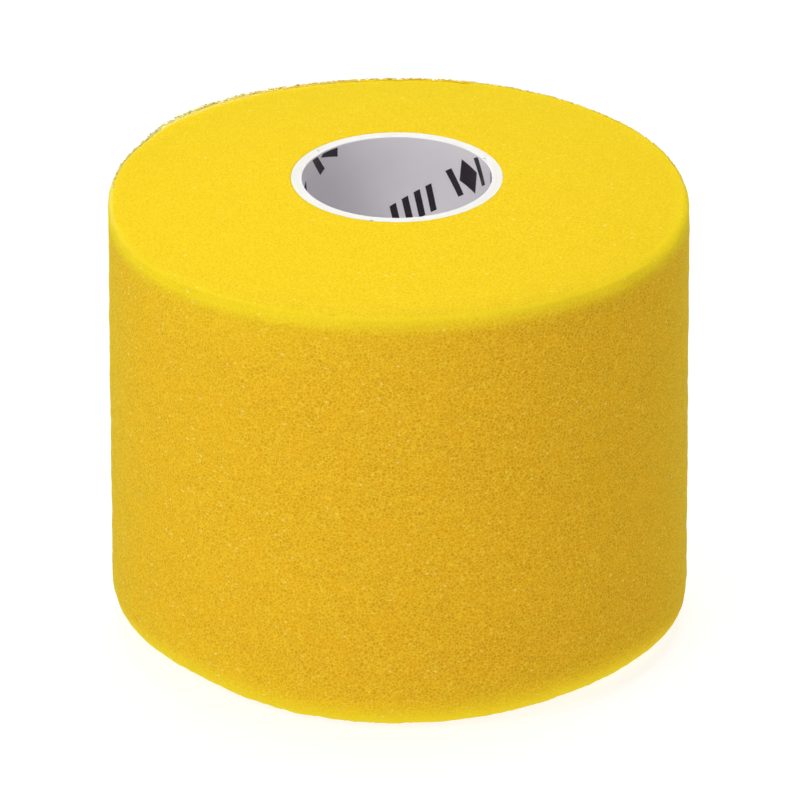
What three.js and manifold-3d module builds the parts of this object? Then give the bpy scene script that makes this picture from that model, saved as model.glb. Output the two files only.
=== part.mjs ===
// A roll of thin open-cell foam underwrap for racket handles. One long foam strip is wound
// on a spiral-wound paper core, and its free end can be peeled off the roll.
// Millimetres, +Z up along the roll's axis, origin on the resting plane under the axis.
// Seen from above the strip winds anticlockwise, and angles are measured from +X.
import * as THREE from "three";
import { mergeVertices } from "three/addons/utils/BufferGeometryUtils.js";
import Module from "manifold-3d";

const wasm = await Module();
wasm.setup();

// Driving dimensions
const rollRadius = 43.8; // mean outer radius of the wound foam
const rollHeight = 72; // at the core, where the roll is highest
const edgeHeight = 68.5; // at the outer top edge, below the core because the turns have crept down
const domePower = 1.35; // how the top falls from the core to the edge: 1 is a plain cone
const footRound = 6.7; // radius of the rounded outer edge of the foot
const footFlatRadius = 26; // the foot is flat from here outwards
const coreLift = 2; // how far the core and the first turns stand off the resting plane
const facets = 96; // flats round the foam
const facetAngle = 360 / facets;
const sameStop = 0.01; // angles closer than this, in degrees, are the same stop
const overrun = 1; // how far a cutting solid reaches past what it cuts

// The paper core, from the printed liner in the bore outwards
const boreRadius = 14.3;
const coreRadius = 15.9;
const linerThickness = 0.2;
const glueLine = 0.1; // clear space between neighbouring plies
const boardPlyNames = ["core_ply_inner", "core_ply_middle", "core_ply_outer"];
const coreFacets = 48;
const seamLead = 60; // height in which a ply's butt seam goes once round
const seamGap = 0.4;
const seamSteps = 24;
const linerSeamAngle = 270; // where the liner's seam meets the top of the core, in degrees
const plySeamOffset = 115; // each ply's seam starts this far round from the last one's

// The tape that holds the strip's start on the core
const tapeThickness = 0.15;
const tapeWidth = 12;
const tapeMargin = 4; // bare core above and below the tape
const tapeAngle = 202.5;
const tapeClearance = 0.1;

// The foam strip: its first turn starts on the tape, and its last turn ends in the tail
const turnPitch = 0.8; // how much the first turn and the last turn each add to the radius
const stripThickness = 0.5;
const tipAngle = 150; // where the strip ends
const tailSegmentNames = ["tail_root", "tail_second", "tail_third", "tail_tip"];
const tailSegmentAngle = 4 * facetAngle;
const partGap = 0.3; // clear space between neighbouring stretches of the strip
const tailAngle = tailSegmentAngle * tailSegmentNames.length;
const startAngle = tapeAngle - 2 * facetAngle; // where the strip starts, on the tape
const foamBore = coreRadius + tapeThickness + 2 * tapeClearance;

const radians = THREE.MathUtils.degToRad;

const foam = new THREE.MeshStandardMaterial({ color: 0xf2c81c, roughness: 0.95, metalness: 0 });
const printedPaper = new THREE.MeshStandardMaterial({ color: 0xc9c6cc, roughness: 0.7, metalness: 0 });
const whiteBoard = new THREE.MeshStandardMaterial({ color: 0xf1f0ec, roughness: 0.85, metalness: 0 });
const clearTape = new THREE.MeshStandardMaterial({ color: 0xe8e4d4, roughness: 0.35, metalness: 0 });

// A closed three.js geometry as a solid that can be joined and cut.
function solidOf(geometry) {
  const bare = geometry.clone();
  bare.deleteAttribute("normal");
  bare.deleteAttribute("uv");
  const merged = mergeVertices(bare, 1e-4);
  return new wasm.Manifold(
    new wasm.Mesh({
      numProp: 3,
      vertProperties: new Float32Array(merged.attributes.position.array),
      triVerts: new Uint32Array(merged.index.array),
    }),
  );
}

// A solid as a named mesh.
function meshOf(name, solid, material) {
  const result = solid.getMesh();
  const geometry = new THREE.BufferGeometry();
  geometry.setAttribute("position", new THREE.BufferAttribute(result.vertProperties, 3));
  geometry.setIndex(new THREE.BufferAttribute(result.triVerts, 1));
  geometry.computeVertexNormals();
  const mesh = new THREE.Mesh(geometry, material);
  mesh.name = name;
  return mesh;
}

// A closed profile of [radius, height] points, turned about the axis.
function turned(profile, segments) {
  const points = profile.map(([radius, height]) => new THREE.Vector2(radius, height));
  points.push(points[0].clone());
  return new THREE.LatheGeometry(points, segments).rotateX(Math.PI / 2);
}

// A plan outline as a straight prism between two heights.
function prism(outline, low, high) {
  const geometry = new THREE.ExtrudeGeometry(outline, { depth: high - low, bevelEnabled: false });
  return geometry.translate(0, 0, low);
}

function polar(radius, degrees) {
  const angle = radians(degrees);
  return new THREE.Vector2(radius * Math.cos(angle), radius * Math.sin(angle));
}

// Angles from start to end, with a stop at each flat of the faceted roll between them.
function facetStops(start, end) {
  const stops = [start];
  const firstFlat = Math.ceil((start + sameStop) / facetAngle) * facetAngle;
  for (let angle = firstFlat; angle < end - sameStop; angle += facetAngle) {
    stops.push(angle);
  }
  stops.push(end);
  return stops;
}

// The plan outline of a shell between two radii that may change with the angle.
function shellOutline(innerRadiusAt, outerRadiusAt, start, end) {
  const stops = facetStops(start, end);
  const outer = stops.map((angle) => polar(outerRadiusAt(angle), angle));
  const inner = stops.map((angle) => polar(innerRadiusAt(angle), angle)).reverse();
  return new THREE.Shape([...outer, ...inner]);
}

// The last turn's outer surface is a spiral that starts just past the strip's tip.
function lastTurnOuter(angle) {
  return rollRadius - turnPitch / 2 + (turnPitch * (angle - tipAngle)) / 360;
}

function lastTurnInner(angle) {
  return lastTurnOuter(angle) - stripThickness;
}

function packOuter(angle) {
  return lastTurnOuter(angle) - turnPitch;
}

// The first turn's inner surface is a spiral that starts on the tape.
function firstTurnInner(angle) {
  return foamBore + (turnPitch * (angle - startAngle)) / 360;
}

function firstTurnOuter(angle) {
  return firstTurnInner(angle) + stripThickness;
}

function packInner(angle) {
  return firstTurnInner(angle) + turnPitch;
}

// The angle that spans a length on the roll's outer surface.
function surfaceAngle(length) {
  return THREE.MathUtils.radToDeg(length / rollRadius);
}

function topHeight(radius) {
  const share = (radius - coreRadius) / (rollRadius - coreRadius);
  return edgeHeight + (rollHeight - edgeHeight) * (1 - Math.pow(share, domePower));
}

// Core
function plySolid(innerRadius, outerRadius, seamAngle) {
  const profile = [
    [innerRadius, coreLift],
    [outerRadius, coreLift],
    [outerRadius, rollHeight],
    [innerRadius, rollHeight],
  ];
  const tube = solidOf(turned(profile, coreFacets));
  return tube.subtract(seamBlade(innerRadius, outerRadius, seamAngle));
}

// A thin blade through a ply's wall, twisted about the axis, which opens the ply's butt seam.
function seamBlade(innerRadius, outerRadius, seamAngle) {
  const outline = new THREE.Shape([
    new THREE.Vector2(innerRadius - overrun, -seamGap / 2),
    new THREE.Vector2(outerRadius + overrun, -seamGap / 2),
    new THREE.Vector2(outerRadius + overrun, seamGap / 2),
    new THREE.Vector2(innerRadius - overrun, seamGap / 2),
  ]);
  const depth = rollHeight - coreLift + 2 * overrun;
  const blade = new THREE.ExtrudeGeometry(outline, { depth, steps: seamSteps, bevelEnabled: false });
  blade.translate(0, 0, coreLift - overrun);
  const position = blade.getAttribute("position");
  const point = new THREE.Vector3();
  const up = new THREE.Vector3(0, 0, 1);
  for (let i = 0; i < position.count; i += 1) {
    point.fromBufferAttribute(position, i);
    const turn = ((point.z - rollHeight) / seamLead) * 360;
    point.applyAxisAngle(up, radians(seamAngle + turn));
    position.setXYZ(i, point.x, point.y, point.z);
  }
  return solidOf(blade);
}

function coreGroup() {
  const group = new THREE.Group();
  const linerRadius = boreRadius + linerThickness;
  group.add(meshOf("core_liner", plySolid(boreRadius, linerRadius, linerSeamAngle), printedPaper));
  const plyPitch = (coreRadius - linerRadius) / boardPlyNames.length;
  boardPlyNames.forEach((name, i) => {
    const innerRadius = linerRadius + i * plyPitch + glueLine;
    const outerRadius = linerRadius + (i + 1) * plyPitch;
    const seamAngle = linerSeamAngle + (i + 1) * plySeamOffset;
    group.add(meshOf(name, plySolid(innerRadius, outerRadius, seamAngle), whiteBoard));
  });
  return group;
}

function startTape() {
  const innerRadius = coreRadius + tapeClearance;
  const halfAngle = THREE.MathUtils.radToDeg(tapeWidth / 2 / innerRadius);
  const outline = shellOutline(
    () => innerRadius,
    () => innerRadius + tapeThickness,
    tapeAngle - halfAngle,
    tapeAngle + halfAngle,
  );
  const solid = solidOf(prism(outline, coreLift + tapeMargin, rollHeight - tapeMargin));
  return meshOf("start_tape", solid, clearTape);
}

// The space that the wound foam fills: a domed top, a hollowed foot and a rounded foot edge.
function foamEnvelope() {
  const outermost = rollRadius + turnPitch / 2;
  const beyond = outermost + overrun;
  const domeSteps = 5;
  const roundSteps = 6;
  const roundCentre = outermost - footRound;
  const profile = [
    [foamBore, coreLift],
    [footFlatRadius, 0],
  ];
  for (let i = 0; i < roundSteps; i += 1) {
    const angle = (i / roundSteps) * (Math.PI / 2);
    const radius = roundCentre + footRound * Math.sin(angle);
    profile.push([radius, footRound * (1 - Math.cos(angle))]);
  }
  profile.push([outermost, footRound]);
  profile.push([beyond, footRound + overrun]);
  for (let i = domeSteps; i >= 0; i -= 1) {
    const radius = foamBore + (beyond - foamBore) * (i / domeSteps);
    profile.push([radius, topHeight(Math.max(radius, coreRadius))]);
  }
  return solidOf(turned(profile, facets));
}

const envelope = foamEnvelope();

// A stretch of the wound strip: its plan outline, trimmed to the space that the foam fills.
function foamStretch(name, outline) {
  const blank = solidOf(prism(outline, -overrun, rollHeight + overrun));
  return meshOf(name, blank.intersect(envelope), foam);
}

function foamFirstTurn() {
  const end = startAngle + 360 - surfaceAngle(partGap) * (rollRadius / foamBore);
  return foamStretch("foam_first_turn", shellOutline(firstTurnInner, firstTurnOuter, startAngle, end));
}

// All the turns between the first and the last. Each of its two outlines is one turn of a
// spiral, with a step where the strip's first turn ends or its last turn begins.
function foamPack() {
  const outerStops = facetStops(tipAngle, tipAngle + 360);
  const outline = new THREE.Shape(outerStops.map((angle) => polar(packOuter(angle), angle)));
  const innerStops = facetStops(startAngle, startAngle + 360).reverse();
  outline.holes.push(new THREE.Path(innerStops.map((angle) => polar(packInner(angle), angle))));
  return foamStretch("foam_pack", outline);
}

function foamLastTurn() {
  const start = tipAngle + surfaceAngle(partGap);
  const end = tipAngle + 360 - tailAngle;
  return foamStretch("foam_last_turn", shellOutline(lastTurnInner, lastTurnOuter, start, end));
}

function foamTail() {
  const group = new THREE.Group();
  const root = tipAngle + 360 - tailAngle;
  tailSegmentNames.forEach((name, i) => {
    const start = root + i * tailSegmentAngle + surfaceAngle(partGap);
    const end = root + (i + 1) * tailSegmentAngle;
    group.add(foamStretch(name, shellOutline(lastTurnInner, lastTurnOuter, start, end)));
  });
  return group;
}

const roll = new THREE.Group();
roll.name = "foam_underwrap_roll";
roll.add(coreGroup(), startTape(), foamFirstTurn(), foamPack(), foamLastTurn(), foamTail());

export default roll;
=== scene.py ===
"""Looks for a roll of yellow foam underwrap on a printed paper core.

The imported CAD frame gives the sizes. Shapes are worked out in millimetres and written in metres.
Angles go anticlockwise seen from above, from +X. The strip is wound anticlockwise, and a turn
angle counts from the strip's tip, so 360 is the tip itself and 0 is the same place one turn below.
"""

import math

import bpy
import numpy as np
from mathutils import Matrix, Vector


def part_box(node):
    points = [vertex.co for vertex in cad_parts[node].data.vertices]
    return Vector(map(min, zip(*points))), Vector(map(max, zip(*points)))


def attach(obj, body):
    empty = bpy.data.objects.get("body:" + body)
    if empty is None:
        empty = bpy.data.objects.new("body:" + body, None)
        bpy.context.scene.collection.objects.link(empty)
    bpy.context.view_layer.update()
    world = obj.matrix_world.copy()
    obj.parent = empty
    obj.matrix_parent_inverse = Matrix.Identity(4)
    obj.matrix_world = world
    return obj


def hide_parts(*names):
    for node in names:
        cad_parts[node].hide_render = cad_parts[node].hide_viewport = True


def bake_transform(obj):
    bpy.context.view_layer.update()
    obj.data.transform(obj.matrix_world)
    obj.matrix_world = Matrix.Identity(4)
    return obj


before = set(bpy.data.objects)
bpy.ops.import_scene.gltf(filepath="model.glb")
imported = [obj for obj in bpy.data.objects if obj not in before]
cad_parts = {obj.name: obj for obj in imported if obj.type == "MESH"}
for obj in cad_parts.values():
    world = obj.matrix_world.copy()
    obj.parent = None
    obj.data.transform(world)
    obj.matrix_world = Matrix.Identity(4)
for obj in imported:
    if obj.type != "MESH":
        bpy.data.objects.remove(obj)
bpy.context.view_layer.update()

MM = 0.001


# ------------------------------------------------------------------ sizes from the frame, in mm

def box_mm(name):
    low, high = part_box(name)
    return np.array(low) / MM, np.array(high) / MM


def half_width(name):
    """Radius of a round CAD node."""
    low, high = box_mm(name)
    return float((high - low)[:2].mean() / 2)


CORE_RADIUS = half_width("core_ply_outer")
CORE_TOP = float(box_mm("core_ply_outer")[1][2])
CORE_FOOT = float(box_mm("core_ply_outer")[0][2])
LINER_RADIUS = half_width("core_liner")
ROLL_RADIUS = half_width("foam_last_turn")
EDGE_HEIGHT = float(box_mm("foam_last_turn")[1][2])

# the foam strip
STRIP_WIDTH = 70.0
STRIP_THICKNESS = 0.65
TURN_PITCH = 0.8  # how much one turn adds to the radius
TIP_ANGLE = 150.0  # where the strip ends
UNDERLAP = 75.0  # how far the last turn is followed back under the tail
FEATHER_START = 347.0  # the torn end thins out from this turn angle
FEATHER_THICKNESS = 0.2
FEATHER_GAP = 0.03  # clear space under the torn end
LOOSE_START = 285.0  # from here to there the strip goes from wound tight to loose
LOOSE_END = 291.0
LOOSE_GAP = 0.01  # clear space under the loose tail
TURN_GAP = 0.006  # clear space between the last turn and the turns under it

# the tail, from its root to its tip
TAIL_NODES = ["tail_root", "tail_second", "tail_third", "tail_tip"]
HINGE_TURNS = [300.0, 315.0, 330.0, 345.0]
SEGMENT = 15.0

# the wound roll
DOME_POWER = 1.35  # how the top falls from the core to the edge: 1 is a plain cone
FOOT_ROUND = 6.7  # mean radius of the rounded foot edge
FOOT_FLAT = 26.0  # the foot is flat from this radius outwards
EDGE_RAISE = -0.2  # the outer edge stands this much above its CAD top, so a little below it
CORE_RAISE = 0.3  # the core stands this much above its CAD top
TRUE_BAND = 9.0  # how far in from the rim the top face starts to follow the strip's own radius
UNEVEN_BAND = 12.0  # how far in from the rim its slack and tight places reach
LIP_BAND = 2.4  # the slack lip rises over this distance to the rim
LIP_FLAT = 0.4  # and stays level over the last of it
CORNER_CUT = 1 - math.sqrt(0.5)  # where a rounded corner lies at 45 degrees, as a share of its radius

# places round the roll: (size in mm, direction, width), the last two in degrees
RIM_PLACES = [
    (1.05, 270, 40), (0.20, 137, 25), (-0.75, 207, 20),
    (-0.55, 331, 20), (0.60, 172, 9), (-0.25, 95, 18),
]
FOOT_PLACES = [(2.2, 221, 16), (0.9, 308, 15), (-1.6, 348, 10)]

# layers of unevenness: (height in mm, size of the lumps in mm, seed)
SIDE_LAYERS = [(0.06, 1.1, 11), (0.07, 2.9, 12), (0.12, 15, 13)]
FOOT_LAYERS = [(0.10, 0.55, 14), (0.10, 1.9, 15)]
TOP_LAYERS = [(0.05, 0.6, 20), (0.035, 1.2, 21), (0.03, 3.1, 22), (0.05, 9, 23)]
LIP_LAYERS = [(0.17, 1.3, 24)]

# how finely the strip is meshed
COLUMN_STEP = 0.625  # degrees between columns
END_SUPPORT = 0.03  # a second column this close to each end keeps the shading straight there
SEAM_OVERLAP = 0.03  # how far a stretch runs into the next one
ARC_ROWS = 15
SIDE_ROWS = 120
CUT_SHARES = [0.25, 0.5, 0.75, 0.96, 1.0]
INNER_ROWS = 12

# the core
LINER_THICKNESS = 0.2
BOARD_PLIES = ["core_ply_inner", "core_ply_middle", "core_ply_outer"]
SEAM_LEAD = 60.0  # height in which a seam goes once round
SEAM_ANGLE = 270.0  # the liner's seam at the core's top
SEAM_OFFSET = 115.0  # each ply's seam starts this far round from the last one's
SEAM_GAP = 0.03
PLY_GAP = 0.012  # clear space inside each board ply
PAPER_EASE = 0.03  # how far the paper's corners are broken

# the printed marks: one of them is anchored at this direction and this far below the core's top
MARK_ANGLE = 40.5
MARK_DEPTH = 4.3
MARK_PITCH = 12.2
ROW_PITCH = 17.1
ROW_SHIFT = -4.7


# ------------------------------------------------------------------ noise

def lattice(cell, seed):
    """A number from 0 to 1 for each whole-number cell, hashed with large odd factors."""
    cell = cell.astype(np.int64)
    value = cell[..., 0] * 374761393 + cell[..., 1] * 668265263 + cell[..., 2] * 2246822519
    value = (value + seed * 3266489917) & 0xFFFFFFFF
    value = ((value ^ (value >> 13)) * 1274126177) & 0xFFFFFFFF
    value = ((value ^ (value >> 16)) * 2654435761) & 0xFFFFFFFF
    return ((value ^ (value >> 15)) & 0xFFFFFF) / float(0x1000000)


def noise(points, size, seed):
    """Smooth noise from -1 to 1, with lumps about size across."""
    place = points / size
    cell = np.floor(place)
    share = place - cell
    share = share * share * (3 - 2 * share)
    total = np.zeros(points.shape[:-1])
    for corner in np.ndindex(2, 2, 2):
        offset = np.array(corner)
        weight = np.prod(np.where(offset == 1, share, 1 - share), axis=-1)
        total += weight * lattice(cell + offset, seed)
    return 2 * total - 1


def lattice_line(values, size, seed):
    """Smooth noise from -1 to 1 along one direction."""
    zero = np.zeros_like(values)
    return noise(np.stack([values, zero, zero], axis=-1), size, seed)


def relief(points, layers):
    """Unevenness made of several layers of noise."""
    return sum(height * noise(points, size, seed) for height, size, seed in layers)


def bump(angle, centre, width):
    """A smooth hump round a direction, 1 at its middle. All in degrees."""
    away = (angle - centre + 180) % 360 - 180
    return np.exp(-0.5 * (away / width) ** 2)


def places_sum(angle, places):
    """Sum of smooth humps round the roll."""
    return sum(size * bump(angle, centre, width) for size, centre, width in places)


def smooth(value, low, high):
    """0 up to low, 1 from high on, and an easy step between them."""
    share = np.clip((value - low) / (high - low), 0, 1)
    return share * share * (3 - 2 * share)


# ------------------------------------------------------------------ the roll's shape

def rim_lift(angle):
    """How far the outer top edge stands above its mean height: slack places and tight ones."""
    wave = 0.08 * np.sin(np.radians(5 * angle + 40))
    return places_sum(angle, RIM_PLACES) + wave


def slack(angle):
    """1 where the last turns are slackest and stand up as a lip, painted pale as light shining through
    it, 0 where they lie tight.
    """
    return bump(angle, 143, 21)


def round_rim(inward, drop, angle):
    """1 on the rounded top edge round the front, which is painted darker as shade, and 0 away from it.
    Takes the distance in from the rim and the drop below its top."""
    return smooth(inward, 6.0, 1.8) * (1 - smooth(drop, 1.0, 2.8)) * bump(angle, 262, 50)


def lip_height(angle):
    """How far the slack lip stands above the rest of the rim."""
    return 0.40 * slack(angle)


def lace_reach(angle):
    """Height of the torn cells along the top edge, which lie flat round the front half."""
    return (0.24 + 0.20 * slack(angle)) * smooth(np.sin(np.radians(angle)), -0.02, 0.25)


def foot_round(angle):
    """Radius of the rounded foot edge, which is uneven round the roll."""
    return FOOT_ROUND + places_sum(angle, FOOT_PLACES)


def shoulder(turn, angle):
    """Radius of the rounded top edge: soft at the front, nearly sharp behind, and square under
    the tail."""
    square = 0.08
    exposed = 0.45 + 4.0 * bump(angle, 270, 42)
    return square + (exposed - square) * smooth(turn, -4, 2)


def rounding(reach, radius):
    """How far a rounded corner has left one face, at a distance in from the corner on the other."""
    inside = np.clip(radius - reach, 0, radius)
    return radius - np.sqrt(radius ** 2 - inside ** 2)


def feather(turn):
    """0 along the strip, rising to 1 at its torn end."""
    return smooth(turn, FEATHER_START, 360)


def outer_radius(turn):
    """Radius of the strip's outer face."""
    whole = ROLL_RADIUS - TURN_PITCH / 2 + TURN_PITCH * turn / 360
    return whole - (TURN_PITCH - FEATHER_THICKNESS - FEATHER_GAP) * feather(turn)


def strip_thickness(turn):
    """The tail is a little looser, and so thicker, than the turns under it."""
    swelling = TURN_PITCH - STRIP_THICKNESS - LOOSE_GAP
    loose = STRIP_THICKNESS + swelling * smooth(turn, LOOSE_START, LOOSE_END)
    return loose - (loose - FEATHER_THICKNESS) * feather(turn)


def edge_height(angle):
    """Height of the outer top edge."""
    return EDGE_HEIGHT + EDGE_RAISE + rim_lift(angle) + lip_height(angle)


def top_height(radius, angle, rim, corner):
    """Height of the top face, inside a rim of that radius with a rounded corner."""
    full = ROLL_RADIUS + (rim - ROLL_RADIUS) * smooth(radius, rim - TRUE_BAND, rim)
    share = np.clip((radius - CORE_RADIUS) / (full - CORE_RADIUS), 0, 1)
    middle = CORE_TOP + CORE_RAISE
    dome = middle - (middle - EDGE_HEIGHT - EDGE_RAISE) * share ** DOME_POWER
    dome = dome + rim_lift(angle) * smooth(radius, rim - UNEVEN_BAND, rim)
    dome = dome + lip_height(angle) * smooth(radius, rim - LIP_BAND, rim - LIP_FLAT)
    return dome - rounding(rim - radius, corner)


def lip_relief(points, angle):
    """The slack lip is wavier than the rest of the rim."""
    return slack(angle) * relief(points, LIP_LAYERS)


def polar(radius, angle, height):
    """Points in mm, from radii, angles in degrees and heights."""
    turned = np.radians(angle)
    return np.stack([radius * np.cos(turned), radius * np.sin(turned), height], axis=-1)


# ------------------------------------------------------------------ meshes

def new_piece(name, points, faces, sharp_faces=(), **attributes):
    """A mesh object from points in mm, with float or vector attributes on its points."""
    mesh = bpy.data.meshes.new(name)
    mesh.from_pydata((points * MM).tolist(), [], faces)
    flags = np.ones(len(faces), bool)
    flags[list(sharp_faces)] = False
    mesh.polygons.foreach_set("use_smooth", flags)
    for key, values in attributes.items():
        vector = values.ndim == 2
        layer = mesh.attributes.new(key, "FLOAT_VECTOR" if vector else "FLOAT", "POINT")
        layer.data.foreach_set("vector" if vector else "value", values.astype(np.float32).ravel())
    mesh.validate()
    mesh.update()
    piece = bpy.data.objects.new(name, mesh)
    bpy.context.scene.collection.objects.link(piece)
    return piece


def sweep_faces(columns, ring, closed):
    """Quads between neighbouring columns of ring points, and two end caps if it isn't closed."""
    count = columns if closed else columns - 1
    column = np.arange(count)[:, None]
    near = column * ring + np.arange(ring)[None]
    far = ((column + 1) % columns) * ring + np.arange(ring)[None]
    quads = np.stack([near, far, np.roll(far, -1, 1), np.roll(near, -1, 1)], axis=-1)
    quads = quads.reshape(-1, 4).tolist()
    if closed:
        return quads, []
    caps = [list(range(ring)), list(range(columns * ring - 1, (columns - 1) * ring - 1, -1))]
    return quads + caps, [len(quads), len(quads) + 1]


class Builder:
    """Gathers swept bodies and struts into one mesh with its attributes."""

    def __init__(self):
        self.points, self.faces, self.sharp = [], [], []
        self.grain, self.edge, self.rim = [], [], []
        self.count = 0

    def add(self, points, faces, sharp, grain, edge, rim=None):
        """Adds a body. Sharp lists its flat-shaded faces, and grain, edge and rim are values at
        its points: where the foam's cells lie, the look of a cut edge and the painted shade on the
        rounded rim."""
        self.sharp += [len(self.faces) + i for i in sharp]
        self.faces += [[corner + self.count for corner in face] for face in faces]
        self.points.append(points.reshape(-1, 3))
        self.grain.append(grain.reshape(-1, 3))
        self.edge.append(edge.reshape(-1))
        self.rim.append(np.zeros(edge.size) if rim is None else rim.reshape(-1))
        self.count += self.points[-1].shape[0]

    def build(self, name):
        return new_piece(name, np.concatenate(self.points), self.faces, self.sharp,
                         grain=np.concatenate(self.grain), cut_edge=np.concatenate(self.edge),
                         round_rim=np.concatenate(self.rim))


# ------------------------------------------------------------------ foam strip

def side_edge(height, angle, top, foot, painted_glow):
    """How much the outer face looks like a cut edge: near its top, and a little more round the left
    front.
    High on the side that faces the left key light it gets painted key light, near the foot painted
    bounce light from the floor, and just under the top the slack lip's painted glow."""
    near_top = smooth(height, top - 3.4, top - 0.1)
    # painted bounce light from the floor: more lemon over the last 4 mm above the foot
    painted_floor_bounce = 0.12 * smooth(foot + 4 - height, 0, 4)
    # painted key light: more lemon high on the side that faces the left key light
    painted_key_light = 0.22 * smooth(height, top - 13, top - 1.5) * bump(angle, 240, 24)
    lemon = near_top + painted_floor_bounce + painted_key_light + 0.14 * bump(angle, 222, 30)
    return np.minimum(lemon, 1) + (painted_glow - 1) * smooth(height, top - 0.7, top - 0.1)


def strip_section(turn):
    """The strip's cross-section at each turn angle, as a closed ring. Gives each point's radius,
    height, share of the outer face's ripple and share of a cut edge, as (columns, ring)."""
    angle = turn + TIP_ANGLE
    rim = outer_radius(turn)
    thickness = strip_thickness(turn)
    foot = foot_round(angle)
    corner = shoulder(turn, angle)
    cut = CORNER_CUT * corner
    top = edge_height(angle)
    # painted light: the slack lip is painted pale for the light that shines through its thin torn net
    painted_glow = 1 + 0.90 * slack(angle)
    curl = (STRIP_WIDTH - (top - foot)) / foot
    rows = []

    def arc_point(depth, share):
        around = curl * share
        reach = foot - depth
        return rim - foot + reach * np.cos(around), foot - reach * np.sin(around)

    def face_radius(height, depth):
        return rim - rounding(top - height, corner) - depth

    for i in range(ARC_ROWS):
        share = 1 - i / ARC_ROWS
        under = 0.12 + 0.88 * smooth(share, -0.1, 0.75)
        rows.append((*arc_point(0, share), 1.0, under))
    for i in range(SIDE_ROWS + 1):
        height = foot + (top - cut - foot) * i / SIDE_ROWS
        lemon = side_edge(height, angle, top, foot, painted_glow)
        rows.append((face_radius(height, 0), height, 1.0, lemon))
    for share in CUT_SHARES:
        ring = rim - cut - thickness * share
        # the cut top keeps the slack lip's painted glow at its outer edge and loses most of it inwards
        faded = 1 + (painted_glow - 1) * (1 - 0.8 * smooth(share, 0.2, 0.8))
        rows.append((ring, top_height(ring, angle, rim, corner), 0.0, faded))
    inner_top = rows[-1][1] - 0.03
    for i in range(INNER_ROWS):
        height = inner_top + (foot - inner_top) * (i / INNER_ROWS) ** 1.5
        ring = face_radius(np.minimum(height, top - cut), thickness)
        # the inner wall's top row takes the lip's painted glow, which lifts its shade
        rows.append((ring, height, 0.0, painted_glow if i == 0 else 1.0 - i / INNER_ROWS))
    for i in range(ARC_ROWS):
        rows.append((*arc_point(thickness, (i + 1) / ARC_ROWS), 0.0, 1.0))
    ones = np.ones_like(turn)
    return [np.stack([row[k] * ones for row in rows], axis=1) for k in range(4)]


def torn_shift(turn, height):
    """Degrees by which the torn end runs ragged up its height."""
    ragged = 0.55 * lattice_line(height, 2.6, 41) + 0.3 * lattice_line(height, 0.8, 42)
    return ragged * smooth(turn, 358.5, 360)


def strip_body(builder, start, end):
    """A stretch of the strip from one turn angle to another. Only its cut edges get the relief."""
    steps = int(round((end - start) / COLUMN_STEP))
    turn = start + (end - start) * np.arange(steps + 1) / steps
    turn = np.sort(np.append(turn, [start + END_SUPPORT, end - END_SUPPORT]))
    radius, height, outward, edge = strip_section(turn)
    turns = turn[:, None] * np.ones_like(radius)
    angle = turns + TIP_ANGLE + torn_shift(turns, height)
    rest = polar(radius, angle, height)
    ripple = relief(rest, SIDE_LAYERS)
    top_relief = relief(rest, TOP_LAYERS) + lip_relief(rest, angle)
    cut_relief = np.where(height > EDGE_HEIGHT / 2, top_relief, relief(rest, FOOT_LAYERS))
    height = height + cut_relief * (edge > 0.99)
    points = polar(radius + ripple * outward, angle, height)
    arc = np.radians(angle) * ROLL_RADIUS
    grain = np.stack([arc, height, radius], axis=-1)
    faces, caps = sweep_faces(points.shape[0], points.shape[1], False)
    # painted shade on the rounded front rim
    rim = round_rim(outer_radius(turns) - radius, edge_height(angle) - height, angle)
    builder.add(points, faces, caps, grain, edge, rim)


STRUT_SIDES = [[i, (i + 1) % 3, 3 + (i + 1) % 3, 3 + i] for i in range(3)]
STRUT_FACES = STRUT_SIDES + [[2, 1, 0], [3, 4, 5]]


def struts(builder, start, end, thickness, edge):
    """Thin closed prisms between pairs of points, for the torn cell walls along a cut edge. They
    narrow to their far ends."""
    along = end - start
    length = np.linalg.norm(along, axis=1, keepdims=True)
    along = along / np.maximum(length, 1e-6)
    side = np.cross(along, np.array([0.3, 0.5, 0.8]))
    side = side / np.maximum(np.linalg.norm(side, axis=1, keepdims=True), 1e-6)
    other = np.cross(along, side)
    corners = []
    for base, width in ((start, thickness), (end, thickness * 0.7)):
        for i in range(3):
            around = 2 * math.pi * i / 3
            outward = side * math.cos(around) + other * math.sin(around)
            corners.append(base + outward * width[:, None])
    points = np.stack(corners, axis=1)
    faces = [[6 * k + v for v in face] for k in range(len(start)) for face in STRUT_FACES]
    builder.add(points, faces, [], points, np.repeat(edge[:, None], points.shape[1], axis=1))


def top_lace_nodes(turn, angle, inset, rise):
    """Where the struts meet along the top edge."""
    rim = outer_radius(turn)
    corner = shoulder(turn, angle)
    ring = rim - CORNER_CUT * corner - inset + 0.05 * rise
    edge_points = polar(ring, angle, np.full_like(ring, EDGE_HEIGHT))
    root = top_height(ring, angle, rim, corner) + lip_relief(edge_points, angle) - 0.06
    return polar(ring, angle, root + lace_reach(angle) * rise)


def foot_lace_nodes(turn, angle, inset, rise):
    """Where the struts meet along the edge that curls in under the foot."""
    rim = outer_radius(turn)
    foot = foot_round(angle)
    curl = (STRIP_WIDTH - (edge_height(angle) - foot)) / foot
    around = curl + (0.26 * rise - 0.05) / foot
    ring = rim - foot + (foot - inset) * np.cos(around)
    return polar(ring, angle, foot - (foot - inset) * np.sin(around))


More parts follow.
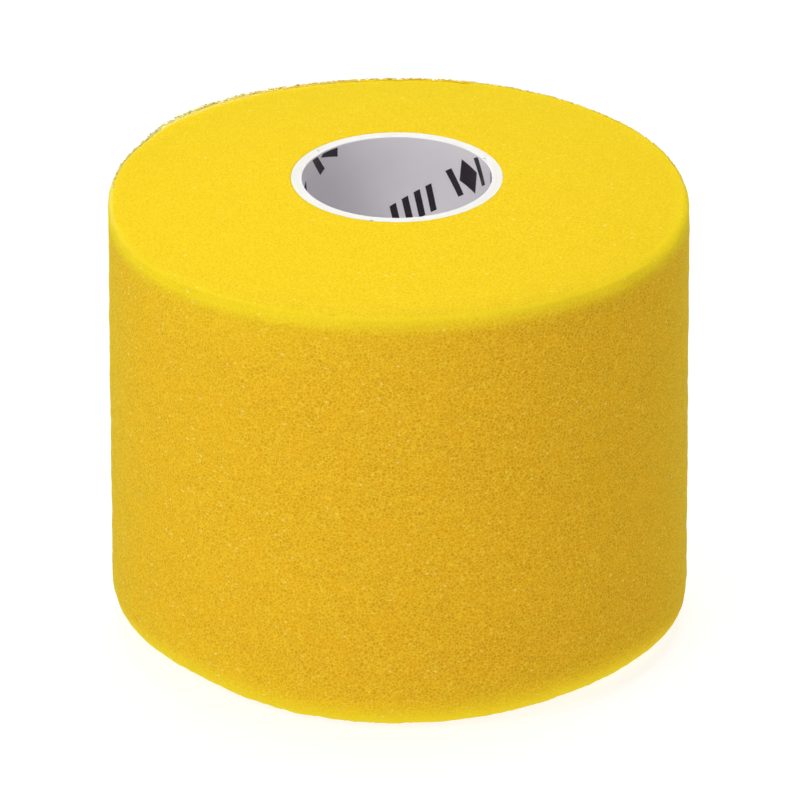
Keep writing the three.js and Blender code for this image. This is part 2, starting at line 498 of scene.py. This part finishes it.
def lace(builder, start, end, at_top, seed):
    """Torn foam cells along the strip's top or bottom edge: a ragged net of thin struts."""
    rng = np.random.default_rng(seed)
    spacing, rows, layers = (0.34, 3, 3) if at_top else (0.50, 2, 2)
    count = int(math.radians(end - start) * ROLL_RADIUS / spacing)
    for layer in range(layers):
        shape = (count, rows)
        share = (np.arange(count)[:, None] + rng.uniform(0.1, 0.9, shape)) / count
        turn = start + (end - start) * share
        angle = turn + TIP_ANGLE
        rise = (np.arange(rows)[None] + rng.uniform(-0.3, 0.3, shape)) / (rows - 1)
        depth = (layer + rng.uniform(-0.3, 0.3, shape) + 0.5) / layers
        inset = strip_thickness(turn) * (0.2 + 0.6 * depth)
        kept = rng.uniform(0, 1, shape) < np.linspace(1.0, 0.55, rows)[None]
        if at_top:
            nodes = top_lace_nodes(turn, angle, inset, rise)
            kept &= lace_reach(angle) > 0.05
        else:
            nodes = foot_lace_nodes(turn, angle, inset, rise)
        thick = rng.uniform(0.04, 0.07, shape) * (1 + 0.5 * slack(angle))
        # painted light: every strut takes a fifth of the lip's painted glow, and more on the slack lip,
        # which lifts their shade
        edge = 1.2 + 0.8 * slack(angle)
        for step, sideways, chance in ((1, 0, 0.9), (1, 1, 0.55), (0, 1, 0.8)):
            first = nodes[:count - sideways, :rows - step]
            second = nodes[sideways:, step:]
            both = kept[:count - sideways, :rows - step] & kept[sideways:, step:]
            both &= rng.uniform(0, 1, both.shape) < chance
            if step == 0:
                both[:, 0] = False
            lower = (slice(0, count - sideways), slice(0, rows - step))
            struts(builder, first[both], second[both], thick[lower][both], edge[lower][both])


def strip_piece(name, start, end, seed):
    """A stretch of the strip, which runs a hair into the next one so that no slit shows."""
    builder = Builder()
    strip_body(builder, start, end if end == 360 else end + SEAM_OVERLAP)
    clear = 0.1
    exposed_start = max(start, -4.0)
    lace(builder, exposed_start + clear, end - clear, True, seed)
    lace(builder, start + clear, end - clear, False, seed + 7)
    return builder.build(name)


# ------------------------------------------------------------------ wound foam

UNDERSIDE = 0.4  # how rough the underside is, and how much it looks like a cut edge


def wound_section(angle):
    """Cross-section of all the turns under the last one, at each angle. A closed ring of radii,
    heights and shares of the relief."""
    turn = (angle - TIP_ANGLE - UNDERLAP + 720) % 360 + UNDERLAP - 360
    turn = np.where(turn < -UNDERLAP, turn + 360, turn)
    rim = outer_radius(turn)
    radius = rim - STRIP_THICKNESS - TURN_GAP
    foot = foot_round(angle)
    corner = shoulder(turn, angle)
    cut = CORNER_CUT * corner
    bore = CORE_RADIUS + 0.02
    bore_top = CORE_TOP - 0.5
    top_rows, shoulder_rows, side_rows, curl_rows, flat_rows, bore_rows = 84, 6, 16, 7, 20, 10
    edge_ease = 0.03
    shoulder_depth = 3.0
    foot_margin = 1.0
    rows = []
    lip = radius - cut
    shares = [*np.linspace(0, 1, top_rows, endpoint=False), 1.0 - edge_ease / ROLL_RADIUS, 1.0]
    for share in shares:
        ring = bore + (lip - bore) * share
        rows.append((ring, top_height(ring, angle, rim, corner), 1.0))
    top = edge_height(angle)
    level = rows[-1][1] - edge_ease
    rows.append((lip, level, 0.0))
    base = top - shoulder_depth
    for i in range(1, shoulder_rows + 1):
        height = level + (base - level) * i / shoulder_rows
        rows.append((radius - rounding(top - np.minimum(height, top - cut), corner), height, 0.0))
    for i in range(1, side_rows):
        rows.append((radius, base + (foot - base) * i / side_rows, 0.0))
    inner_foot = foot - TURN_PITCH
    for i in range(curl_rows):
        around = math.pi / 2 * i / curl_rows
        ring = radius - inner_foot + inner_foot * math.cos(around)
        rows.append((ring, foot - inner_foot * math.sin(around), 0.0))
    flat = radius - inner_foot - foot_margin
    for i in range(flat_rows):
        rows.append((flat + (FOOT_FLAT - flat) * i / flat_rows, 0.0, UNDERSIDE))
    for i in range(bore_rows):
        ring = FOOT_FLAT + (bore - FOOT_FLAT) * i / bore_rows
        rows.append((ring, CORE_FOOT * (FOOT_FLAT - ring) / (FOOT_FLAT - bore), UNDERSIDE))
    for i in range(bore_rows):
        rows.append((bore, CORE_FOOT + (bore_top - CORE_FOOT) * i / bore_rows, 0.0))
    ones = np.ones_like(angle)
    return [np.stack([row[k] * ones for row in rows], axis=1) for k in range(3)]


def wound_piece():
    """All the turns under the last one, with the step where the strip's end lies."""
    columns = 577
    step_angle = TIP_ANGLE - UNDERLAP
    slit = 0.01
    top_depth = 3.0
    angle = step_angle + slit + (360 - 2 * slit) * np.arange(columns) / (columns - 1)
    radius, height, rough = wound_section(angle)
    around = angle[:, None] * np.ones_like(radius)
    rest = polar(radius, around, height)
    lumps = relief(rest, TOP_LAYERS)
    upper = height > EDGE_HEIGHT - top_depth
    near_rim = smooth(radius, ROLL_RADIUS - 2.9, ROLL_RADIUS - 0.5)
    top_lumps = lumps + lip_relief(rest, around) * near_rim
    height = height + np.where(upper, top_lumps * rough, 0.35 * np.abs(lumps) * rough)
    points = polar(radius, around, height)
    builder = Builder()
    faces, caps = sweep_faces(points.shape[0], points.shape[1], True)
    # painted light: near the rim of the slack part the top goes past 1 into the lip's painted glow
    edge = np.where(upper, 0.75 + (0.25 + 0.15 * slack(around)) * near_rim, UNDERSIDE)
    # painted shade on the rounded front rim
    rim = round_rim(ROLL_RADIUS - radius, edge_height(around) - height, around)
    builder.add(points, faces, caps, rest, edge, rim)
    return builder.build("foam_wound")


# ------------------------------------------------------------------ core

def ply_piece(name, inner, outer, top, seam, columns, rows):
    """A ply of the paper tube: a strip wound once round, whose two sides meet in a helical seam."""
    gap = math.degrees(SEAM_GAP / inner)
    share = np.linspace(gap / 2, 360 - gap / 2, columns)
    ease = PAPER_EASE
    levels = [*np.linspace(CORE_FOOT + ease, top - 3 * ease, rows + 1), top - ease]
    ring = [(inner, level) for level in levels]
    ring += [(inner + ease, top), (inner + 1.6 * ease, top)]
    ring += [(outer - 1.6 * ease, top), (outer - ease, top)]
    ring += [(outer, level) for level in reversed(levels)]
    ring += [(outer - ease, CORE_FOOT), (inner + ease, CORE_FOOT)]
    radius = np.array([r for r, _ in ring])[None] * np.ones((columns, 1))
    height = np.array([z for _, z in ring])[None] * np.ones((columns, 1))
    angle = share[:, None] + seam + (height - CORE_TOP) / SEAM_LEAD * 360
    points = polar(radius, angle, height)
    points[..., 2] += 0.012 * noise(points, 0.5, 31) * (height > top - 0.01)
    faces, caps = sweep_faces(columns, len(ring), False)
    # the ring runs up the inner wall, so the faces are turned round to point outwards
    faces = [face[::-1] for face in faces]
    return new_piece(name, points.reshape(-1, 3), faces, caps)


def convex_spans(outline, low, high):
    """Lowest and highest z of a convex outline at places across its width, between two limits."""
    corner_gap, step = 0.004, 0.25
    xs = sorted(p[0] for p in outline)
    places = []
    for x0, x1 in zip(xs, xs[1:]):
        count = max(2, int((x1 - x0) / step))
        places += list(np.linspace(x0 + corner_gap, x1 - corner_gap, count))
    spans = []
    for x in places:
        crossings = []
        for (x0, z0), (x1, z1) in zip(outline, outline[1:] + outline[:1]):
            if (x0 - x) * (x1 - x) <= 0 and x0 != x1:
                crossings.append(z0 + (z1 - z0) * (x - x0) / (x1 - x0))
        bottom, top = max(min(crossings), low), min(max(crossings), high)
        if top - bottom > 1e-4:
            spans.append((x, bottom, top))
    return spans


def lozenge(p, q, width, height):
    """Corners of a lozenge, from its middle: p along the row and q above it."""
    return [(p - width / 2, q), (p, q - height / 2), (p + width / 2, q), (p, q + height / 2)]


def bar(p, q, width, height, lean):
    """Corners of an upright bar whose top leans over to the right."""
    left, right = p - width / 2, p + width / 2
    low, high = q - height / 2, q + height / 2
    return [(left - lean, low), (right - lean, low), (right + lean, high), (left + lean, high)]


def ink_patch(builder, outline, bore):
    """A thin layer of ink on the bore, inside an outline of arc lengths and heights."""
    spans = convex_spans(outline, CORE_FOOT + 0.1, CORE_TOP + CORE_RAISE - 0.30)
    if len(spans) < 3:
        return
    arc, low, high = [np.array(values) for values in zip(*spans)]
    angle = MARK_ANGLE + np.degrees(arc / bore)
    inner, outer = bore - 0.02, bore - 0.006
    ring = [polar(inner, angle, low), polar(inner, angle, high),
            polar(outer, angle, high), polar(outer, angle, low)]
    points = np.stack(ring, axis=1)
    faces, _ = sweep_faces(len(spans), len(ring), False)
    faces = [face[::-1] for face in faces]
    builder.add(points, faces, range(len(faces)), points, np.zeros(points.shape[:2]))


def printed_marks():
    """Plain bars and lozenges in dark ink, printed on the liner before it was wound, so that the
    rows climb round the bore with the seam. There are more rows and columns than fit on the bore,
    and what lies off it is left out."""
    bore = LINER_RADIUS - LINER_THICKNESS
    tilt = math.atan(SEAM_LEAD / (2 * math.pi * bore))
    emblem = [lozenge(0, 0, 4.8, 5.6), bar(-3.5, 0, 1.3, 4.4, 0), bar(3.5, 0, 1.3, 4.4, 0)]
    bars = [bar(-3.3 + 2.2 * i, -0.6, 1.15, 4.0, 0.8) for i in range(4)]

    def place(p, q):
        """A point p along the row and q above it, as arc length and height on the bore."""
        arc = p * math.cos(tilt) - q * math.sin(tilt)
        rise = p * math.sin(tilt) + q * math.cos(tilt)
        return -arc, rise + CORE_TOP + CORE_RAISE - MARK_DEPTH

    builder = Builder()
    for row in range(-6, 7):
        for column in range(-14, 15):
            along = column * MARK_PITCH + row * ROW_SHIFT
            across = row * ROW_PITCH
            for shape in emblem if (column + row) % 2 == 0 else bars:
                outline = [place(p + along, q + across) for p, q in shape]
                middle = sum(arc for arc, _ in outline) / len(outline)
                if abs(middle) <= math.pi * bore:
                    ink_patch(builder, outline, bore)
    return builder.build("liner_print")


# ------------------------------------------------------------------ materials

def new_material(name):
    material = bpy.data.materials.new(name)
    material.use_nodes = True
    tree = material.node_tree
    tree.nodes.clear()
    output = tree.nodes.new("ShaderNodeOutputMaterial")
    shader = tree.nodes.new("ShaderNodeBsdfPrincipled")
    tree.links.new(shader.outputs["BSDF"], output.inputs["Surface"])
    return material, tree, shader


def node(tree, kind, inputs=None, **settings):
    """Adds a shader node. Each input is a plain value or the output of another node."""
    made = tree.nodes.new(kind)
    for key, value in settings.items():
        setattr(made, key, value)
    for key, value in (inputs or {}).items():
        if isinstance(value, bpy.types.NodeSocket):
            tree.links.new(value, made.inputs[key])
        else:
            made.inputs[key].default_value = value
    return made


def math_node(tree, operation, *values):
    return node(tree, "ShaderNodeMath", dict(enumerate(values)), operation=operation).outputs[0]


def weighted(tree, value, factor, middle=0.0):
    """A value's distance from a middle, times a factor."""
    centred = math_node(tree, "SUBTRACT", value, middle) if middle else value
    return math_node(tree, "MULTIPLY", centred, factor)


def mix_colour(tree, factor, first, second):
    made = node(tree, "ShaderNodeMix", data_type="RGBA")
    for socket, value in (("Factor", factor), ("A", first), ("B", second)):
        target = [s for s in made.inputs if s.name == socket and s.enabled][0]
        if isinstance(value, bpy.types.NodeSocket):
            tree.links.new(value, target)
        else:
            target.default_value = value
    return [s for s in made.outputs if s.enabled][0]


def scaled(tree, vector, factors):
    return node(tree, "ShaderNodeVectorMath", {0: vector, 1: factors}, operation="MULTIPLY").outputs[0]


def noise_of(tree, vector, detail, roughness=0.5):
    inputs = {"Vector": vector, "Scale": 1.0, "Detail": detail, "Roughness": roughness}
    return node(tree, "ShaderNodeTexNoise", inputs).outputs["Fac"]


def voronoi(tree, vector, feature):
    return node(tree, "ShaderNodeTexVoronoi", {"Vector": vector, "Scale": 1.0}, feature=feature).outputs


def attribute(tree, name, output):
    return node(tree, "ShaderNodeAttribute", attribute_name=name).outputs[output]


def raise_surface(tree, shader, height, strength, distance_mm):
    inputs = {"Height": height, "Strength": strength, "Distance": distance_mm * MM}
    bumps = node(tree, "ShaderNodeBump", inputs)
    tree.links.new(bumps.outputs["Normal"], shader.inputs["Normal"])


def remap(tree, value, low, high, to_low, to_high):
    inputs = {"Value": value, "From Min": low, "From Max": high, "To Min": to_low, "To Max": to_high}
    return node(tree, "ShaderNodeMapRange", inputs, clamp=True).outputs[0]


# foam colours: pale struts round darker pores, on the side, where it is cut and on the slack lip.
# The pores' darkness is partly painted shade, and the slack lip's paleness is painted light shining
# through it.
SIDE_STRUT = (0.98, 0.67, 0.042, 1)
SIDE_PORE = (0.60, 0.23, 0.001, 1)
SIDE_ORANGE = (0.85, 0.38, 0.003, 1)
EDGE_STRUT = (0.94, 0.72, 0.026, 1)
EDGE_PORE = (0.82, 0.55, 0.008, 1)
# painted light: the slack lip's pale colours stand for light shining through it
LIP_STRUT_PAINTED_GLOW = (1.0, 0.98, 0.60, 1)
LIP_PORE_PAINTED_GLOW = (0.98, 0.92, 0.45, 1)
# painted highlight colour of the glints
PAINTED_GLINT_COLOUR = (1.0, 0.88, 0.25, 1)
# painted shade: the rounded front rim is a little darker and bluer
PAINTED_RIM_SHADE_TINT = (0.97, 0.98, 1.10)
# the side that faces the left key light, where the painted glints gather
PAINTED_GLINT_ARC = 172.0  # where the flecks are thickest, in mm round the outer face from +X


def foam_cells(tree, grain):
    """Struts round open cells. Gives the space that the cells lie in, the height of the surface,
    its tone from pore to strut, which follows the height so that the pores carry painted shade, and
    slow blotches."""
    cells = scaled(tree, grain, (1.75, 1.95, 1.85))
    wobble = node(tree, "ShaderNodeTexNoise", {"Vector": cells, "Scale": 0.9, "Detail": 1.0})
    shifted = scaled(tree, wobble.outputs["Color"], (0.8, 0.8, 0.8))
    warped = node(tree, "ShaderNodeVectorMath", {0: cells, 1: shifted}, operation="ADD").outputs[0]
    cell = voronoi(tree, warped, "F1")
    wall = voronoi(tree, warped, "DISTANCE_TO_EDGE")["Distance"]
    depth = node(tree, "ShaderNodeSeparateColor", {0: cell["Color"]}).outputs[0]
    net = remap(tree, wall, 0.0, 0.18, 1.0, 0.0)
    opening = remap(tree, wall, 0.06, 0.30, 0.0, 1.0)
    speckle = noise_of(tree, scaled(tree, grain, (3.2, 3.7, 3.4)), 2.0, 0.55)
    blotch = noise_of(tree, scaled(tree, grain, (0.32, 0.45, 0.4)), 3.0, 0.6)
    strut = math_node(tree, "MULTIPLY", net, remap(tree, speckle, 0.25, 0.75, 0.05, 0.72))
    hollow = math_node(tree, "MULTIPLY", opening, remap(tree, depth, 0.0, 1.0, 0.04, 0.20))
    height = math_node(tree, "SUBTRACT", math_node(tree, "ADD", 0.40, strut), hollow)
    height = math_node(tree, "ADD", height, weighted(tree, speckle, 0.32, 0.5))
    # painted shade: the tone follows the height, so the hollows of the pores are darker; the blotches
    # are random tone
    tone = math_node(tree, "ADD", height, weighted(tree, blotch, 0.30, 0.5))
    return warped, height, remap(tree, tone, -0.03, 1.05, 0.0, 1.0), blotch


def painted_glints(tree, grain, warped):
    """Painted glints: small pale flecks in the base colour, most of them round the side that faces the
    left key light. They also get a lower roughness, as shiny cut strut ends.
    """
    flecks = voronoi(tree, scaled(tree, warped, (0.42, 0.62, 0.50)), "F1")
    chosen = node(tree, "ShaderNodeSeparateColor", {0: flecks["Color"]}).outputs[0]
    cluster = noise_of(tree, scaled(tree, grain, (0.12, 0.12, 0.12)), 1.0)
    along = node(tree, "ShaderNodeSeparateXYZ", {0: grain}).outputs[0]
    away = math_node(tree, "ABSOLUTE", math_node(tree, "SUBTRACT", along, PAINTED_GLINT_ARC))
    cluster = math_node(tree, "ADD", cluster, remap(tree, away, 15.0, 75.0, 0.06, -0.16))
    scarce = remap(tree, cluster, 0.42, 0.66, 0.96, 0.60)
    spot = remap(tree, flecks["Distance"], 0.08, 0.27, 1.0, 0.0)
    return math_node(tree, "MULTIPLY", spot, math_node(tree, "GREATER_THAN", chosen, scarce))


def foam_material():
    """Open-cell foam: pale struts round darker cells, partly painted shade, orange on the side, lemon
    where it is cut, with painted glints, painted shade on the front rim and the slack lip's painted
    glow.
    """
    material, tree, shader = new_material("yellow_foam")
    grain = attribute(tree, "grain", "Vector")
    edge = attribute(tree, "cut_edge", "Fac")
    warped, height, tone, blotch = foam_cells(tree, grain)

    side = mix_colour(tree, tone, SIDE_PORE, SIDE_STRUT)
    side = mix_colour(tree, remap(tree, blotch, 0.40, 0.70, 0.0, 0.30), side, SIDE_ORANGE)
    soft_tone = remap(tree, tone, 0.0, 1.0, 0.15, 0.90)
    cut = mix_colour(tree, soft_tone, EDGE_PORE, EDGE_STRUT)
    lip = mix_colour(tree, soft_tone, LIP_PORE_PAINTED_GLOW, LIP_STRUT_PAINTED_GLOW)
    base = mix_colour(tree, edge, side, cut)
    # past 1, the edge value mixes in the slack lip's painted glow
    base = mix_colour(tree, remap(tree, edge, 1.0, 2.0, 0.0, 1.0), base, lip)
    # painted shade: the rounded front rim is darker and a little bluer
    painted_rim_shade_base = scaled(tree, base, PAINTED_RIM_SHADE_TINT)
    base = mix_colour(tree, attribute(tree, "round_rim", "Fac"), base, painted_rim_shade_base)
    painted_glint = painted_glints(tree, grain, warped)
    # painted highlight: the flecks are mixed halfway to a pale glint colour
    base = mix_colour(tree, weighted(tree, painted_glint, 0.50), base, PAINTED_GLINT_COLOUR)
    tree.links.new(base, shader.inputs["Base Color"])

    rough = remap(tree, painted_glint, 0.0, 1.0, 0.92, 0.35)
    tree.links.new(rough, shader.inputs["Roughness"])
    shader.inputs["Specular IOR Level"].default_value = 0.08
    shader.inputs["Specular Tint"].default_value = (1.0, 0.80, 0.10, 1)
    shader.inputs["Sheen Weight"].default_value = 0.32
    shader.inputs["Sheen Roughness"].default_value = 0.45
    shader.inputs["Sheen Tint"].default_value = (0.40, 0.72, 0.02, 1)
    raise_surface(tree, shader, height, 0.22, 0.12)
    return material


# paper and tape colours: the sheet itself and its darker mottling
WHITE_BOARD = (0.86, 0.85, 0.80, 1), (0.82, 0.81, 0.76, 1)
PRINTED_PAPER = (0.94, 0.915, 0.945, 1), (0.91, 0.885, 0.915, 1)
CLEAR_TAPE = (0.86, 0.84, 0.76, 1), (0.82, 0.80, 0.70, 1)
DEEP_INK = (0.014, 0.006, 0.011, 1)
THIN_INK = (0.030, 0.014, 0.024, 1)
FLOOR_SHADES = (0.28, 0.28, 0.28, 1), (0.30, 0.30, 0.30, 1)


def paper_material(name, colours, roughness, fibre_scale, relief_mm, coat):
    """Paper or board: short fibres along the strip, faint mottling and a little tooth."""
    colour, shade = colours
    material, tree, shader = new_material(name)
    place = node(tree, "ShaderNodeTexCoord").outputs["Object"]
    mm = scaled(tree, place, (1 / MM, 1 / MM, 1 / MM))
    fibre_size = (fibre_scale, fibre_scale, fibre_scale * 0.45)
    fibres = noise_of(tree, scaled(tree, mm, fibre_size), 4.0, 0.65)
    mottle = noise_of(tree, scaled(tree, mm, (0.35, 0.35, 0.35)), 2.0, 0.5)
    mixed = math_node(tree, "ADD", weighted(tree, fibres, 0.6), weighted(tree, mottle, 0.4))
    tone = remap(tree, mixed, 0.3, 0.7, 0.0, 1.0)
    tree.links.new(mix_colour(tree, tone, shade, colour), shader.inputs["Base Color"])
    rough = remap(tree, fibres, 0.2, 0.8, roughness + 0.08, roughness - 0.08)
    tree.links.new(rough, shader.inputs["Roughness"])
    shader.inputs["Coat Weight"].default_value = coat
    shader.inputs["Coat Roughness"].default_value = 0.35
    raise_surface(tree, shader, fibres, 0.5, relief_mm)
    return material


def ink_material():
    """Dark plum ink, slightly uneven where it sank into the paper."""
    material, tree, shader = new_material("plum_ink")
    grain = attribute(tree, "grain", "Vector")
    soaked = noise_of(tree, scaled(tree, grain, (3.0, 3.0, 3.0)), 3.0, 0.6)
    patchy = remap(tree, soaked, 0.3, 0.75, 0.0, 1.0)
    tree.links.new(mix_colour(tree, patchy, DEEP_INK, THIN_INK), shader.inputs["Base Color"])
    tree.links.new(remap(tree, patchy, 0.0, 1.0, 0.42, 0.58), shader.inputs["Roughness"])
    return material


def floor_material():
    """A plain white studio floor that glows a little."""
    material, tree, shader = new_material("white_floor")
    place = node(tree, "ShaderNodeTexCoord").outputs["Object"]
    faint = noise_of(tree, scaled(tree, place, (9.0, 9.0, 9.0)), 2.0, 0.5)
    tree.links.new(mix_colour(tree, faint, *FLOOR_SHADES), shader.inputs["Base Color"])
    shader.inputs["Roughness"].default_value = 0.9
    shader.inputs["Specular IOR Level"].default_value = 0.0
    shader.inputs["Emission Color"].default_value = (1, 1, 1, 1)
    shader.inputs["Emission Strength"].default_value = 0.82
    return material


# ------------------------------------------------------------------ scene

def make_camera():
    """From the front and about 25 degrees up, far away, through a long lens."""
    elevation = math.radians(25.225)
    pitch = math.radians(26.06)
    yaw = -0.0001668
    roll = -0.0039
    distance = 47.31 * ROLL_RADIUS * MM
    data = bpy.data.cameras.new("camera")
    data.sensor_width = 36.0
    data.lens = 620.5
    data.dof.use_dof = False
    data.clip_start = 0.1
    data.clip_end = 20.0
    camera = bpy.data.objects.new("camera", data)
    bpy.context.scene.collection.objects.link(camera)
    target = Vector((0, 0, EDGE_HEIGHT * MM))
    camera.location = target + distance * Vector((0, -math.cos(elevation), math.sin(elevation)))
    aim = Vector((0, math.cos(pitch), -math.sin(pitch)))
    facing = aim.to_track_quat("-Z", "Y").to_matrix().to_4x4()
    turned = facing @ Matrix.Rotation(yaw, 4, "Y") @ Matrix.Rotation(roll, 4, "Z")
    camera.rotation_euler = turned.to_euler()
    bpy.context.scene.camera = camera


def area_light(name, place, aim, size, power):
    """A soft white disk of light, not seen by the camera."""
    data = bpy.data.lights.new(name, "AREA")
    data.shape = "DISK"
    data.size = size
    data.energy = power
    light = bpy.data.objects.new(name, data)
    light.location = place
    light.rotation_euler = (Vector(aim) - Vector(place)).to_track_quat("-Z", "Y").to_euler()
    light.visible_camera = False
    bpy.context.scene.collection.objects.link(light)


def make_lights():
    """A pale world, brightest near the horizon, and three soft lights."""
    world = bpy.data.worlds.new("studio")
    bpy.context.scene.world = world
    world.use_nodes = True
    tree = world.node_tree
    background = tree.nodes.get("Background")
    direction = node(tree, "ShaderNodeTexCoord").outputs["Generated"]
    rise = node(tree, "ShaderNodeSeparateXYZ", {0: direction}).outputs["Z"]
    tree.links.new(remap(tree, rise, 0.10, 0.35, 0.85, 0.08), background.inputs["Strength"])
    background.inputs["Color"].default_value = (1, 1, 1, 1)
    middle = (0, 0, 0.04)
    size = 0.5
    area_light("overhead", (0.02, 0.17, 0.75), middle, size, 4.14)
    area_light("left_key", (-0.40, -0.50, 0.64), middle, size, 3.20)
    area_light("right_fill", (0.60, -0.20, 0.50), middle, size, 0.15)


def make_floor():
    """A floor far larger than the roll, so that its edges stay out of every view."""
    half = 6.0
    corners = [(-half, -half, 0), (half, -half, 0), (half, half, 0), (-half, half, 0)]
    mesh = bpy.data.meshes.new("floor")
    mesh.from_pydata(corners, [], [[0, 1, 2, 3]])
    floor = bpy.data.objects.new("floor", mesh)
    bpy.context.scene.collection.objects.link(floor)
    mesh.materials.append(floor_material())


def dress(piece, material):
    """Gives a piece its material."""
    piece.data.materials.clear()
    piece.data.materials.append(material)


def hang_segment(piece):
    """Bakes a tail segment's placing into its mesh."""
    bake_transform(piece)


def make_foam():
    """The wound pack, the last turn round it, and the four segments of the tail."""
    foam = foam_material()
    wound = wound_piece()
    dress(wound, foam)
    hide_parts("foam_pack", "foam_first_turn")
    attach(wound, "roll")

    root = HINGE_TURNS[0] - SEGMENT / 2
    last_turn = strip_piece("foam_outer_turn", -UNDERLAP, root, 100)
    dress(last_turn, foam)
    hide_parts("foam_last_turn")
    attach(last_turn, "roll")

    for i, (cad_node, hinge) in enumerate(zip(TAIL_NODES, HINGE_TURNS)):
        start = hinge - SEGMENT / 2
        end = 360.0 if i == len(TAIL_NODES) - 1 else start + SEGMENT
        piece = strip_piece(f"foam_{cad_node}", start, end, 200 + 20 * i)
        dress(piece, foam)
        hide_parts(cad_node)
        hang_segment(piece)


def make_core():
    """The printed liner, the three board plies round it, and the ink on the liner."""
    board = paper_material("white_board", WHITE_BOARD, 0.75, fibre_scale=6.0, relief_mm=0.03, coat=0.0)
    printed = paper_material("printed_paper", PRINTED_PAPER, 0.5, fibre_scale=4.0, relief_mm=0.01,
                             coat=0.15)
    bore = LINER_RADIUS - LINER_THICKNESS
    top = CORE_TOP + CORE_RAISE
    liner = ply_piece("printed_liner", bore, LINER_RADIUS, top - 0.03, SEAM_ANGLE, 180, 120)
    dress(liner, printed)
    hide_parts("core_liner")
    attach(liner, "roll")

    pitch = (CORE_RADIUS - LINER_RADIUS) / len(BOARD_PLIES)
    for i, cad_node in enumerate(BOARD_PLIES):
        inner = LINER_RADIUS + i * pitch + PLY_GAP
        outer = LINER_RADIUS + (i + 1) * pitch
        seam = SEAM_ANGLE + (i + 1) * SEAM_OFFSET
        ply = ply_piece(cad_node.replace("core", "board"), inner, outer, top, seam, 120, 40)
        dress(ply, board)
        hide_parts(cad_node)
        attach(ply, "roll")

    marks = printed_marks()
    dress(marks, ink_material())
    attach(marks, "roll")


def make_tape():
    """The tape that holds the strip's start is inside the roll, so its CAD solid stays."""
    film = paper_material("clear_tape", CLEAR_TAPE, 0.4, fibre_scale=3.0, relief_mm=0.005, coat=0.3)
    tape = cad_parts["start_tape"]
    tape.data.materials.clear()
    tape.data.materials.append(film)


bpy.context.scene.view_settings.view_transform = "Standard"
make_camera()
make_lights()
make_floor()
make_foam()
make_core()
make_tape()
